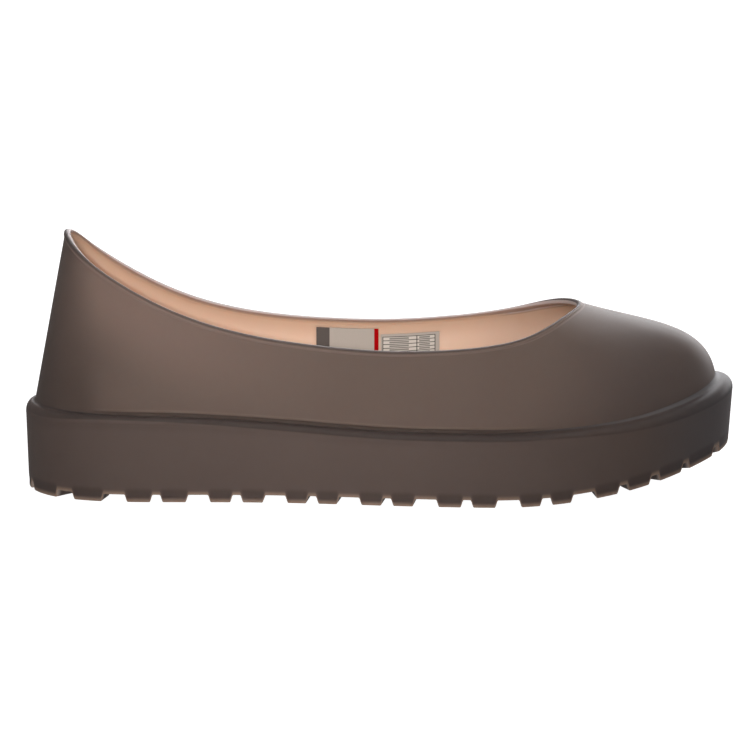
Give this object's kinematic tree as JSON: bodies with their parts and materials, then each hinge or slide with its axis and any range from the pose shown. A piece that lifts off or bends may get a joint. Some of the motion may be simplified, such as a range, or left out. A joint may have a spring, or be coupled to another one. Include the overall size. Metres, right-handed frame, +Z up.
{
  "type": "overshoe",
  "caption": "Low rubber overshoe for the right foot with a high heel peak, a rolled collar and a deep lugged sole.",
  "frame": {"origin": "on the floor, under the middle of the overshoe's box", "axes": "+X towards the toe, +Y towards the medial side of the foot, +Z up"},
  "size_m": [0.29, 0.0996, 0.1059],
  "materials": {
    "upper_rubber": "matt",
    "sole_rubber": "matt",
    "label_film": "matt"
  },
  "bodies": {
    "root": {"upper": "upper_rubber", "sole": "sole_rubber", "label_plain": "label_film", "label_chart": "label_film"}
  },
  "joints": []
}
